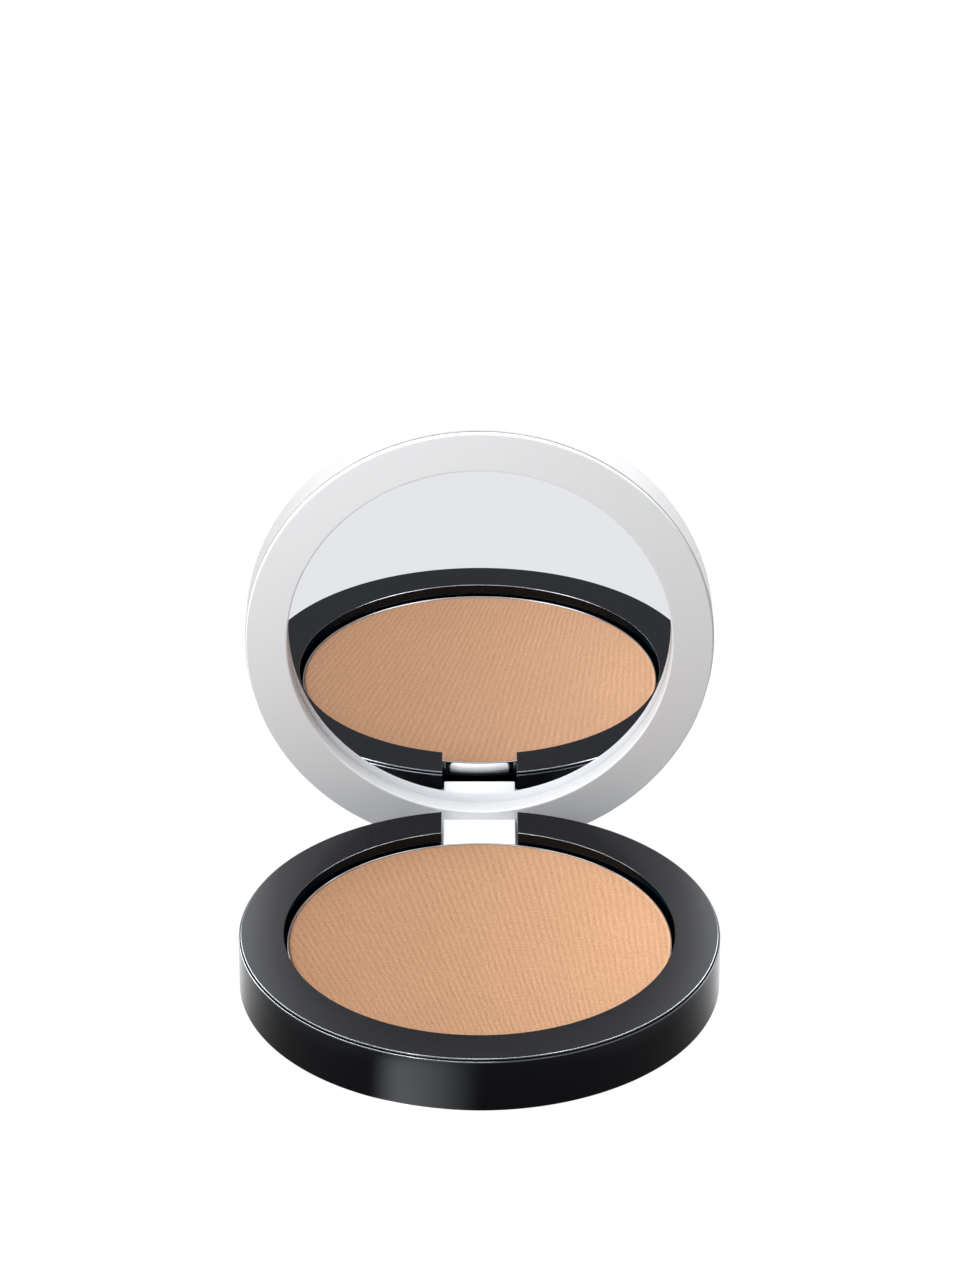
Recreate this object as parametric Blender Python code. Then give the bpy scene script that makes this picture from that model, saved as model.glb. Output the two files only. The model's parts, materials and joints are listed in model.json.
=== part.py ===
"""Round pressed-powder compact with a hinged mirror lid, modelled fully open.

Frame: metres, +Z up.  The origin is the centre of the flat underside of the base, on the
surface that the compact stands on.  -Y is the front, where the user stands, and the hinge
is at the back (+Y).  The lid turns about an axis along X.
"""

import math

import bmesh
import bpy

MM = 0.001
SEGMENTS = 72

# Overall shape
OUTER_RADIUS = 37.4 * MM
BASE_HEIGHT = 9.2 * MM
LID_THICKNESS = 8.0 * MM
CLOSED_GAP = 0.55 * MM
FLOOR = 1.6 * MM
LID_PANEL = 1.3 * MM
WALL = 1.3 * MM
FIT = 0.3 * MM
RIM_CHAMFER = 0.2 * MM
LIP_CHAMFER = 0.15 * MM

# Base
FOOT_RADIUS = 0.5 * MM
RIM_DROP = 0.4 * MM
RIM_GAP = 0.1 * MM
DECK_RADIUS = 37.1 * MM
DECK_CHAMFER = 0.2 * MM
DECK_THICKNESS = 1.0 * MM
WELL_RADIUS = 30.4 * MM
CUP_WALL = 1.1 * MM
TRAY_FLOOR_TOP = 4.3 * MM
TRAY_FLOOR = 0.8 * MM
PAN_RADIUS = 30.0 * MM
PAN_SHEET = 0.35 * MM
PAN_BEND = 0.6 * MM
PAN_RIM_DROP = 1.9 * MM
PAN_BOTTOM = 4.6 * MM
CAKE_RADIUS = 29.5 * MM
CAKE_DROP = 1.95 * MM
CAKE_CROWN = 0.05 * MM
CAKE_BEVEL = 0.2 * MM
GLUE_RADIUS = 18.0 * MM
LABEL_RADIUS = 22.0 * MM
LABEL_THICKNESS = 0.1 * MM

# Snap skirts that hold the tray and the frame in their shells
SKIRT_RADIUS = 35.75 * MM
SKIRT_WALL = 0.65 * MM
SKIRT_LENGTH = 1.6 * MM
BEAD_HEIGHT = 0.25 * MM
BEAD_WIDTH = 0.5 * MM
BEAD_DROP = 0.75 * MM

# Lid
RING_RADIUS = 37.25 * MM
RING_CHAMFER = 0.4 * MM
RING_THICKNESS = 1.0 * MM
LID_RIM_DROP = 0.8 * MM
LID_RIM_GAP = 0.25 * MM
RECESS_RADIUS = 30.65 * MM
MIRROR_DEPTH = 3.1 * MM
MIRROR_THICKNESS = 1.2 * MM
MIRROR_RADIUS = 30.35 * MM
TAPE_RADIUS = 27.0 * MM
TAPE_THICKNESS = 0.2 * MM
SHEET_GAP = 0.1 * MM
LID_EDGE_RADIUS = 1.2 * MM

# Hinge
OPEN_ANGLE = 90.3
AXIS_Y = 34.05 * MM
AXIS_Z = 3.85 * MM
KNUCKLE_RADIUS = 1.9 * MM
KNUCKLE_HALF_WIDTH = 5.8 * MM
NOTCH_HALF_WIDTH = 6.1 * MM
PIN_RADIUS = 0.8 * MM
PIN_HALF_LENGTH = 9.2 * MM
EAR_INNER_X = 6.35 * MM
EAR_OUTER_X = 10.1 * MM
EAR_FRONT_Y = 32.3 * MM
EAR_BACK_Y = 35.75 * MM
EAR_TOP = 5.6 * MM
RIB_THICKNESS = 1.5 * MM

# Closing magnets at the front, one in each half
MAGNET_Y = -33.3 * MM
MAGNET_RADIUS = 1.5 * MM
MAGNET_HEIGHT = 2.0 * MM
POST_RADIUS = 1.4 * MM

# Worked out from the values above
SHELL_INNER_RADIUS = OUTER_RADIUS - WALL
BORE_RADIUS = PIN_RADIUS + FIT
RING_PLANE = BASE_HEIGHT - AXIS_Z + CLOSED_GAP
CUP_OUTER_RADIUS = WELL_RADIUS + CUP_WALL
DECK_UNDERSIDE = BASE_HEIGHT - DECK_THICKNESS
BASE_BEAD_Z = DECK_UNDERSIDE - BEAD_DROP
LID_BEAD_Z = -RING_THICKNESS - BEAD_DROP


def clear_scene():
    for item in list(bpy.data.objects):
        bpy.data.objects.remove(item, do_unlink=True)


def material(name, colour, roughness, metallic=0.0):
    made = bpy.data.materials.new(name)
    made.use_nodes = True
    shader = made.node_tree.nodes["Principled BSDF"]
    shader.inputs["Base Color"].default_value = (*colour, 1.0)
    shader.inputs["Roughness"].default_value = roughness
    shader.inputs["Metallic"].default_value = metallic
    return made


def add_object(name, mesh, finish=None, parent=None):
    made = bpy.data.objects.new(name, mesh)
    bpy.context.scene.collection.objects.link(made)
    made.parent = parent
    if finish:
        mesh.materials.append(finish)
        mesh.shade_smooth()
        mesh.set_sharp_from_angle(angle=math.radians(30))
    return made


def mesh_from(bm, name):
    bmesh.ops.recalc_face_normals(bm, faces=bm.faces)
    mesh = bpy.data.meshes.new(name)
    bm.to_mesh(mesh)
    bm.free()
    return mesh


def turned_mesh(name, profile, closed=False, segments=SEGMENTS):
    """Solid of revolution about Z from (radius, height) points.

    An open profile gets a flat cap at each end; a closed one makes a ring.
    """
    bm = bmesh.new()
    rings = []
    for radius, height in profile:
        turns = [2 * math.pi * i / segments for i in range(segments)]
        rings.append([bm.verts.new((radius * math.cos(t), radius * math.sin(t), height)) for t in turns])
    pairs = list(zip(rings, rings[1:]))
    if closed:
        pairs.append((rings[-1], rings[0]))
    for low, high in pairs:
        for i in range(segments):
            j = (i + 1) % segments
            bm.faces.new((low[i], low[j], high[j], high[i]))
    if not closed:
        bm.faces.new(rings[0])
        bm.faces.new(rings[-1])
    return mesh_from(bm, name)


def arc(centre, radius, start, end, steps):
    """Points of an arc in the (radius, height) plane, angles in degrees."""
    angles = [math.radians(start + (end - start) * i / steps) for i in range(steps + 1)]
    return [(centre[0] + radius * math.cos(a), centre[1] + radius * math.sin(a)) for a in angles]


def box_mesh(name, low, high):
    bm = bmesh.new()
    bmesh.ops.create_cube(bm, size=1.0)
    for vert in bm.verts:
        vert.co = [low[i] + (vert.co[i] + 0.5) * (high[i] - low[i]) for i in range(3)]
    return mesh_from(bm, name)


def rod_mesh(name, radius, half_length, segments):
    """Cylinder along X, centred on the origin."""
    bm = bmesh.new()
    bmesh.ops.create_cone(
        bm, cap_ends=True, segments=segments, radius1=radius, radius2=radius, depth=2 * half_length
    )
    for vert in bm.verts:
        vert.co = (vert.co.z, vert.co.x, vert.co.y)
    return mesh_from(bm, name)


def combine(target, mesh, operation, parent=None, location=(0, 0, 0)):
    """Add a shape to a solid, or cut it out of the solid, with an exact Boolean."""
    tool = add_object(mesh.name, mesh, parent=parent)
    tool.location = location
    tool.hide_render = True
    tool.display_type = "WIRE"
    cut = target.modifiers.new(mesh.name, "BOOLEAN")
    cut.operation = operation
    cut.solver = "EXACT"
    cut.object = tool


def wall_groove(groove_height):
    """Inner wall points, top to bottom, of the groove that a snap bead sits in."""
    depth = BEAD_HEIGHT
    half = BEAD_WIDTH / 2 + FIT / 2
    return [
        (SHELL_INNER_RADIUS, groove_height + half + depth),
        (SHELL_INNER_RADIUS + depth, groove_height + half),
        (SHELL_INNER_RADIUS + depth, groove_height - half),
        (SHELL_INNER_RADIUS, groove_height - half - depth),
    ]


def skirt(underside, bead_height):
    """Skirt points, inner foot round to its outer top, hanging from a flange."""
    foot = underside - SKIRT_LENGTH
    half = BEAD_WIDTH / 2
    return [
        (SKIRT_RADIUS - SKIRT_WALL, underside),
        (SKIRT_RADIUS - SKIRT_WALL, foot),
        (SKIRT_RADIUS - BEAD_HEIGHT, foot),
        (SKIRT_RADIUS, foot + BEAD_HEIGHT),
        (SKIRT_RADIUS, bead_height - half - BEAD_HEIGHT),
        (SKIRT_RADIUS + BEAD_HEIGHT, bead_height - half),
        (SKIRT_RADIUS + BEAD_HEIGHT, bead_height + half),
        (SKIRT_RADIUS, bead_height + half + BEAD_HEIGHT),
    ]


def base_shell(finish):
    """Outer cup of the base, with hinge ears, a magnet post and the rear opening."""
    rim = BASE_HEIGHT - RIM_DROP
    label_seat = LABEL_THICKNESS + SHEET_GAP
    profile = [(LABEL_RADIUS + FIT, label_seat), (LABEL_RADIUS + FIT, 0.0)]
    profile += arc((OUTER_RADIUS - FOOT_RADIUS, FOOT_RADIUS), FOOT_RADIUS, -90, 0, 3)
    profile += [
        (OUTER_RADIUS, rim - RIM_CHAMFER),
        (OUTER_RADIUS - RIM_CHAMFER, rim),
        (SHELL_INNER_RADIUS, rim),
    ]
    profile += wall_groove(BASE_BEAD_Z)
    profile += [(SHELL_INNER_RADIUS, FLOOR)]
    shell = add_object("base_shell", turned_mesh("base_shell", profile), finish)

    for side, label in ((-1, "left"), (1, "right")):
        xs = sorted((side * EAR_INNER_X, side * EAR_OUTER_X))
        ear = box_mesh(
            f"ear_{label}", (xs[0], EAR_FRONT_Y, FLOOR / 2), (xs[1], EAR_BACK_Y, EAR_TOP)
        )
        combine(shell, ear, "UNION")
    combine(shell, rod_mesh("pin_bed", BORE_RADIUS, PIN_HALF_LENGTH + FIT, 24), "DIFFERENCE",
            location=(0, AXIS_Y, AXIS_Z))
    slot_end = PIN_HALF_LENGTH + FIT
    slot = box_mesh(
        "pin_slot",
        (-slot_end, AXIS_Y - BORE_RADIUS, AXIS_Z),
        (slot_end, AXIS_Y + BORE_RADIUS, BASE_HEIGHT),
    )
    combine(shell, slot, "DIFFERENCE")
    opening = box_mesh(
        "rear_opening",
        (-NOTCH_HALF_WIDTH, EAR_FRONT_Y - 2 * FIT, FLOOR),
        (NOTCH_HALF_WIDTH, OUTER_RADIUS + FIT, BASE_HEIGHT),
    )
    combine(shell, opening, "DIFFERENCE")
    post_top = DECK_UNDERSIDE - FIT - MAGNET_HEIGHT - FIT
    post = turned_mesh(
        "magnet_post", [(POST_RADIUS, FLOOR / 2), (POST_RADIUS, post_top)], segments=24
    )
    combine(shell, post, "UNION", location=(0, MAGNET_Y, 0))
    return shell


def deck_tray(finish):
    """Inner tray: the flat deck ring, the well that holds the pan, and the snap skirt."""
    ledge = BASE_HEIGHT - RIM_DROP + RIM_GAP
    profile = [(CUP_OUTER_RADIUS, TRAY_FLOOR_TOP - TRAY_FLOOR), (CUP_OUTER_RADIUS, DECK_UNDERSIDE)]
    profile += skirt(DECK_UNDERSIDE, BASE_BEAD_Z)
    profile += [
        (SKIRT_RADIUS, ledge),
        (DECK_RADIUS, ledge),
        (DECK_RADIUS, BASE_HEIGHT - DECK_CHAMFER),
        (DECK_RADIUS - DECK_CHAMFER, BASE_HEIGHT),
        (WELL_RADIUS + LIP_CHAMFER, BASE_HEIGHT),
        (WELL_RADIUS, BASE_HEIGHT - LIP_CHAMFER),
        (WELL_RADIUS, TRAY_FLOOR_TOP),
    ]
    tray = add_object("deck_tray", turned_mesh("deck_tray", profile), finish)

    notch = box_mesh(
        "deck_notch",
        (-NOTCH_HALF_WIDTH, PAN_RADIUS - FIT, TRAY_FLOOR_TOP),
        (NOTCH_HALF_WIDTH, OUTER_RADIUS + FIT, BASE_HEIGHT + FIT),
    )
    combine(tray, notch, "DIFFERENCE")
    skirt_gap = box_mesh(
        "skirt_gap",
        (-EAR_OUTER_X - 2 * FIT, CUP_OUTER_RADIUS + FIT, DECK_UNDERSIDE - 2 * SKIRT_LENGTH),
        (EAR_OUTER_X + 2 * FIT, OUTER_RADIUS, DECK_UNDERSIDE),
    )
    combine(tray, skirt_gap, "DIFFERENCE")
    rib_foot = AXIS_Z + PIN_RADIUS + FIT
    for side, label in ((-1, "left"), (1, "right")):
        xs = sorted((side * (EAR_INNER_X + FIT), side * (PIN_HALF_LENGTH - FIT)))
        rib = box_mesh(
            f"pin_rib_{label}",
            (xs[0], AXIS_Y - RIB_THICKNESS / 2, rib_foot),
            (xs[1], AXIS_Y + RIB_THICKNESS / 2, BASE_HEIGHT - DECK_THICKNESS / 2),
        )
        combine(tray, rib, "UNION")
    return tray


def powder_pan(finish):
    rim = BASE_HEIGHT - PAN_RIM_DROP
    inner = PAN_RADIUS - PAN_SHEET
    profile = arc((PAN_RADIUS - PAN_BEND, PAN_BOTTOM + PAN_BEND), PAN_BEND, -90, 0, 2)
    profile += [(PAN_RADIUS, rim), (inner, rim), (inner, PAN_BOTTOM + PAN_SHEET)]
    return add_object("powder_pan", turned_mesh("powder_pan", profile), finish)


def powder_cake(finish):
    top = BASE_HEIGHT - CAKE_DROP
    profile = [
        (CAKE_RADIUS, PAN_BOTTOM + PAN_SHEET + SHEET_GAP),
        (CAKE_RADIUS, top - CAKE_CROWN),
        (CAKE_RADIUS - CAKE_BEVEL, top),
    ]
    return add_object("powder_cake", turned_mesh("powder_cake", profile), finish)


def disc(name, radius, low, high, finish, parent=None, centre=(0, 0), segments=SEGMENTS):
    mesh = turned_mesh(name, [(radius, low), (radius, high)], segments=segments)
    made = add_object(name, mesh, finish, parent)
    made.location = (centre[0], centre[1], 0)
    return made


def hinge_pin(finish):
    pin = add_object("hinge_pin", rod_mesh("hinge_pin", PIN_RADIUS, PIN_HALF_LENGTH, 24), finish)
    pin.location = (0, AXIS_Y, AXIS_Z)
    return pin


def lid_axis_empty():
    """Empty on the hinge axis.

    It carries a second empty at the centre of the lid's face ring, whose local Z runs
    forward out of the ring face, so local heights are negative going back into the lid.
    """
    axis = bpy.data.objects.new("lid_axis", None)
    bpy.context.scene.collection.objects.link(axis)
    axis.location = (0, AXIS_Y, AXIS_Z)
    axis.rotation_euler = (math.radians(90 - OPEN_ANGLE), 0, 0)
    centre = bpy.data.objects.new("lid_centre", None)
    bpy.context.scene.collection.objects.link(centre)
    centre.parent = axis
    centre.location = (0, RING_PLANE, AXIS_Y)
    centre.rotation_euler = (math.radians(90), 0, 0)
    return centre


def lid_shell(finish, centre):
    """Outer cup of the lid, opening forward, with a post behind its magnet."""
    back = -LID_THICKNESS
    profile = arc((OUTER_RADIUS - LID_EDGE_RADIUS, back + LID_EDGE_RADIUS), LID_EDGE_RADIUS, -90, 0, 4)
    profile += [
        (OUTER_RADIUS, -LID_RIM_DROP - RIM_CHAMFER),
        (OUTER_RADIUS - RIM_CHAMFER, -LID_RIM_DROP),
        (SHELL_INNER_RADIUS, -LID_RIM_DROP),
    ]
    profile += wall_groove(LID_BEAD_Z)
    profile += [(SHELL_INNER_RADIUS, back + LID_PANEL)]
    shell = add_object("lid_shell", turned_mesh("lid_shell", profile), finish, centre)
    post_top = -RING_THICKNESS - FIT - MAGNET_HEIGHT - FIT
    post = turned_mesh(
        "lid_magnet_post", [(POST_RADIUS, back + LID_PANEL / 2), (POST_RADIUS, post_top)], segments=24
    )
    combine(shell, post, "UNION", parent=centre, location=(0, -MAGNET_Y, 0))
    return shell


def lid_frame(finish, centre):
    """Mirror frame of the lid: face ring, mirror recess, snap skirt and hinge knuckle."""
    seat = -MIRROR_DEPTH - MIRROR_THICKNESS - TAPE_THICKNESS - 2 * SHEET_GAP
    cup_outer = RECESS_RADIUS + CUP_WALL
    ledge = -LID_RIM_DROP + LID_RIM_GAP
    profile = [(cup_outer, seat - TRAY_FLOOR), (cup_outer, -RING_THICKNESS)]
    profile += skirt(-RING_THICKNESS, LID_BEAD_Z)
    profile += [
        (SKIRT_RADIUS, ledge),
        (RING_RADIUS, ledge),
        (RING_RADIUS, -RING_CHAMFER),
        (RING_RADIUS - RING_CHAMFER, 0.0),
        (RECESS_RADIUS + LIP_CHAMFER, 0.0),
        (RECESS_RADIUS, -LIP_CHAMFER),
        (RECESS_RADIUS, seat),
    ]
    frame = add_object("lid_frame", turned_mesh("lid_frame", profile), finish, centre)

    arm = box_mesh(
        "knuckle_arm",
        (-KNUCKLE_HALF_WIDTH, 0, -KNUCKLE_RADIUS),
        (KNUCKLE_HALF_WIDTH, RING_PLANE + RING_THICKNESS / 2, KNUCKLE_RADIUS),
    )
    axis = centre.parent
    combine(frame, arm, "UNION", parent=axis)
    barrel = rod_mesh("knuckle_barrel", KNUCKLE_RADIUS, KNUCKLE_HALF_WIDTH, 32)
    combine(frame, barrel, "UNION", parent=axis)
    bore = rod_mesh("knuckle_bore", BORE_RADIUS, 2 * KNUCKLE_HALF_WIDTH, 24)
    combine(frame, bore, "DIFFERENCE", parent=axis)
    return frame


def build():
    clear_scene()
    black = material("black_plastic", (0.008, 0.009, 0.011), 0.22)
    white = material("white_plastic", (0.82, 0.82, 0.83), 0.35)
    aluminium = material("pan_aluminium", (0.80, 0.80, 0.80), 0.22, 1.0)
    powder = material("pressed_powder", (0.62, 0.38, 0.24), 0.9)
    steel = material("pin_steel", (0.60, 0.60, 0.61), 0.3, 1.0)
    nickel = material("magnet_nickel", (0.66, 0.64, 0.60), 0.3, 1.0)
    silver = material("mirror_silver", (0.90, 0.92, 0.92), 0.02, 1.0)
    adhesive = material("adhesive", (0.75, 0.74, 0.70), 0.6)
    film = material("label_film", (0.02, 0.02, 0.022), 0.5)

    base_shell(black)
    deck_tray(black)
    powder_pan(aluminium)
    powder_cake(powder)
    disc("pan_adhesive", GLUE_RADIUS, TRAY_FLOOR_TOP + SHEET_GAP, PAN_BOTTOM - SHEET_GAP, adhesive)
    disc("base_label", LABEL_RADIUS, 0.0, LABEL_THICKNESS, film)
    hinge_pin(steel)
    magnet_top = DECK_UNDERSIDE - FIT
    disc("base_magnet", MAGNET_RADIUS, magnet_top - MAGNET_HEIGHT, magnet_top, nickel,
         centre=(0, MAGNET_Y), segments=24)

    centre = lid_axis_empty()
    lid_shell(white, centre)
    lid_frame(white, centre)
    glass_back = -MIRROR_DEPTH - MIRROR_THICKNESS
    disc("mirror", MIRROR_RADIUS, glass_back, -MIRROR_DEPTH, silver, centre)
    tape_front = glass_back - SHEET_GAP
    disc("mirror_tape", TAPE_RADIUS, tape_front - TAPE_THICKNESS, tape_front, adhesive, centre)
    magnet_front = -RING_THICKNESS - FIT
    disc("lid_magnet", MAGNET_RADIUS, magnet_front - MAGNET_HEIGHT, magnet_front, nickel, centre,
         centre=(0, -MAGNET_Y), segments=24)


build()
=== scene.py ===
"""Looks of the pressed-powder compact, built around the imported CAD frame.

Units are metres, +Z up.  The base stands on z = 0, the front is -Y and the hinge is at +Y.
"""

import json
import math

import bmesh
import bpy
import numpy as np
from mathutils import Matrix, Vector


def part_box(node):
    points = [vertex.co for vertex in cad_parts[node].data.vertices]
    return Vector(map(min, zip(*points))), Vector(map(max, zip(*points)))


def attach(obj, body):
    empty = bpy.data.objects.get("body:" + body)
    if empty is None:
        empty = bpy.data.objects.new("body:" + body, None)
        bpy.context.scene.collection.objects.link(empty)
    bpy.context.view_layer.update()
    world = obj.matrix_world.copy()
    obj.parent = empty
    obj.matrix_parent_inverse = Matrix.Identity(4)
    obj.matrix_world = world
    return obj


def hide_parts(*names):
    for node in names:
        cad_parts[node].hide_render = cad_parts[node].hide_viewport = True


MM = 0.001
TURN = 2 * math.pi
SEGMENTS = 384

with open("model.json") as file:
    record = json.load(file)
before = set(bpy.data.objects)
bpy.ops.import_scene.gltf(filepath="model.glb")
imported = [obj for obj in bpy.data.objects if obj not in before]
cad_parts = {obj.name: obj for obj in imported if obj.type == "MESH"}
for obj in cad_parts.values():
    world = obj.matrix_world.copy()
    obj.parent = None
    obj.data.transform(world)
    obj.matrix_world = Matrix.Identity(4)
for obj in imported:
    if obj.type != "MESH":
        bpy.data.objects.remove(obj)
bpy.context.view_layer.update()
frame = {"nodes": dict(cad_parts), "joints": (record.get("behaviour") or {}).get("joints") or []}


# ---------------------------------------------------------------- sizes, read from the frame

def size_of(node):
    low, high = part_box(node)
    return high - low


JOINT = frame["joints"][0]
AXIS = Vector(JOINT["pos_m"])
OPEN_ANGLE = math.radians(max(JOINT["range_deg"]))

OUTER = size_of("base_shell").x / 2
SHELL_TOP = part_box("base_shell")[1].z
DECK_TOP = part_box("deck_tray")[1].z
DECK_OUTER = size_of("deck_tray").x / 2
PAN_OUTER = size_of("powder_pan").x / 2
PAN_BOTTOM, PAN_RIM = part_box("powder_pan")[0].z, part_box("powder_pan")[1].z
CAKE_BOTTOM, CAKE_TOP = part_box("powder_cake")[0].z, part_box("powder_cake")[1].z
TRAY_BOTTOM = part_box("deck_tray")[0].z
KNUCKLE_RADIUS = AXIS.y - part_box("lid_frame")[0].y
LID_OUTER = size_of("lid_shell").x / 2
RING_OUTER = size_of("lid_frame").x / 2

FLOOR_TOP = 1.6 * MM
WELL = 30.4 * MM
NOTCH_HALF = 6.1 * MM
KNUCKLE_HALF = 5.8 * MM
RECESS = 30.65 * MM
MIRROR_DEPTH = 3.1 * MM
MIRROR_THICKNESS = 1.2 * MM
LID_THICKNESS = 8.0 * MM
WALL = 1.3 * MM
CUP_WALL = 1.1 * MM
BESIDE = 0.06 * MM   # support loop beside a rounded edge, which keeps the flat face flat

# The lid's centre, in the hinge's own frame: RING_PLANE behind it and as high as the axis is deep
CLOSED_GAP = 0.55 * MM
RING_PLANE = DECK_TOP - AXIS.z + CLOSED_GAP


def lid_matrix():
    """Places a piece made with +Z out of the face ring and its origin at the ring's centre."""
    lean = Matrix.Rotation(math.radians(90) - OPEN_ANGLE, 4, "X")
    centre = Matrix.Translation((0, RING_PLANE, AXIS.y))
    stand = Matrix.Rotation(math.radians(90), 4, "X")
    return Matrix.Translation(AXIS) @ lean @ centre @ stand


LID = lid_matrix()
HINGE = Matrix.Translation(AXIS) @ Matrix.Rotation(math.radians(90) - OPEN_ANGLE, 4, "X")

# ---------------------------------------------------------------- mesh tools

def finish_mesh(bm, name, sharp=35):
    bmesh.ops.recalc_face_normals(bm, faces=bm.faces)
    mesh = bpy.data.meshes.new(name)
    bm.to_mesh(mesh)
    bm.free()
    mesh.shade_smooth()
    mesh.set_sharp_from_angle(angle=math.radians(sharp))
    return mesh


def place(name, bm, finish, body, replaces=(), matrix=None, sharp=35):
    """Turns a finished shape into a piece that rides on a body and stands for CAD nodes."""
    mesh = finish_mesh(bm, name, sharp)
    if matrix is not None:
        mesh.transform(matrix)
    mesh.materials.append(finish)
    piece = bpy.data.objects.new(name, mesh)
    bpy.context.scene.collection.objects.link(piece)
    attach(piece, body)
    if replaces:
        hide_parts(*replaces)
    return piece


def arc(centre, radius, start, end, steps):
    """Points of an arc in the (radius, height) plane, angles in degrees."""
    turns = [math.radians(start + (end - start) * i / steps) for i in range(steps + 1)]
    return [(centre[0] + radius * math.cos(t), centre[1] + radius * math.sin(t)) for t in turns]


def lathe(profile, segments=SEGMENTS):
    """Turned solid about Z from (radius, height) points, capped flat at both ends."""
    bm = bmesh.new()
    turns = [TURN * (i + 0.5) / segments for i in range(segments)]
    rings = [[bm.verts.new((r * math.cos(t), r * math.sin(t), z)) for t in turns] for r, z in profile]
    for low, high in zip(rings, rings[1:]):
        for i in range(segments):
            j = (i + 1) % segments
            bm.faces.new((low[i], low[j], high[j], high[i]))
    bm.faces.new(rings[0])
    bm.faces.new(rings[-1])
    return bm


def inset_outline(outline, depth):
    """A closed outline moved inwards by depth."""
    count = len(outline)
    points = [Vector(p) for p in outline]
    area = sum(points[i].cross(points[(i + 1) % count]) for i in range(count))
    side = 1 if area > 0 else -1
    moved = []
    for i in range(count):
        first = (points[i] - points[i - 1]).normalized()
        second = (points[(i + 1) % count] - points[i]).normalized()
        normals = [Vector((-d.y, d.x)) * side for d in (first, second)]
        middle = (normals[0] + normals[1]).normalized()
        moved.append(tuple(points[i] + middle * depth / max(middle.dot(normals[0]), 0.5)))
    return moved


def rounded_ends(rounding, steps):
    """(distance back from the end, inset) pairs of a rounded end, from the body to the tip."""
    turns = [math.radians(90 * i / steps) for i in range(steps + 1)]
    return [(rounding * (1 - math.sin(t)), rounding * (1 - math.cos(t))) for t in turns]


def skin_loops(loops):
    """Closed solid from loops of points, with flat ends."""
    bm = bmesh.new()
    chain = [[bm.verts.new(p) for p in loop] for loop in loops]
    count = len(chain[0])
    for one, two in zip(chain, chain[1:]):
        for i in range(count):
            j = (i + 1) % count
            bm.faces.new((one[i], one[j], two[j], two[i]))
    bm.faces.new(chain[0])
    bm.faces.new(chain[-1])
    return bm


def notched_ring(outline, half_gap, rounding, segments=SEGMENTS, steps=3):
    """Turned ring of a closed (radius, height) outline, with a parallel-sided gap at +Y.

    The two flat sides of the gap have rounded edges.
    """
    ends = []
    for back, depth in rounded_ends(rounding, steps):
        gap = half_gap + back
        ends.append([(gap, math.sqrt(r * r - gap * gap), z) for r, z in inset_outline(outline, depth)])
    inner_gap = half_gap + rounding
    middle = []
    for k in range(1, segments):
        loop = []
        for r, z in outline:
            start = math.asin(inner_gap / r)
            turn = start + (TURN - 2 * start) * k / segments
            loop.append((r * math.sin(turn), r * math.cos(turn), z))
        middle.append(loop)
    mirrored = [[(-x, y, z) for x, y, z in loop] for loop in ends]
    return skin_loops(ends[::-1] + middle + mirrored)


def bar(outline, half_length, rounding, steps=3):
    """Bar along X of a closed (y, z) outline, with rounded edges at both ends."""
    ends = []
    for back, depth in rounded_ends(rounding, steps):
        ends.append([(half_length - back, y, z) for y, z in inset_outline(outline, depth)])
    mirrored = [[(-x, y, z) for x, y, z in loop] for loop in ends]
    return skin_loops(ends[::-1] + mirrored)


def rod(radius, half_length, chamfer, segments=48):
    """Rod along X with chamfered ends."""
    bm = lathe([(radius - chamfer, -half_length), (radius, chamfer - half_length),
                (radius, half_length - chamfer), (radius - chamfer, half_length)], segments)
    bm.transform(Matrix.Rotation(math.radians(90), 4, "Y"))
    return bm


def block(low, high):
    bm = bmesh.new()
    bmesh.ops.create_cube(bm, size=1.0)
    for vert in bm.verts:
        vert.co = [low[i] + (vert.co[i] + 0.5) * (high[i] - low[i]) for i in range(3)]
    return bm


def combine(bm, other, operation):
    """Exact Boolean of two closed shapes."""
    objects = []
    for shape in (bm, other):
        bmesh.ops.recalc_face_normals(shape, faces=shape.faces)
        mesh = bpy.data.meshes.new("boolean")
        shape.to_mesh(mesh)
        shape.free()
        made = bpy.data.objects.new("boolean", mesh)
        bpy.context.scene.collection.objects.link(made)
        objects.append(made)
    cut = objects[0].modifiers.new("cut", "BOOLEAN")
    cut.operation = operation
    cut.solver = "EXACT"
    cut.object = objects[1]
    result = bmesh.new()
    result.from_object(objects[0], bpy.context.evaluated_depsgraph_get())
    for made in objects:
        mesh = made.data
        bpy.data.objects.remove(made)
        bpy.data.meshes.remove(mesh)
    return result


# ---------------------------------------------------------------- material tools

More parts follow.
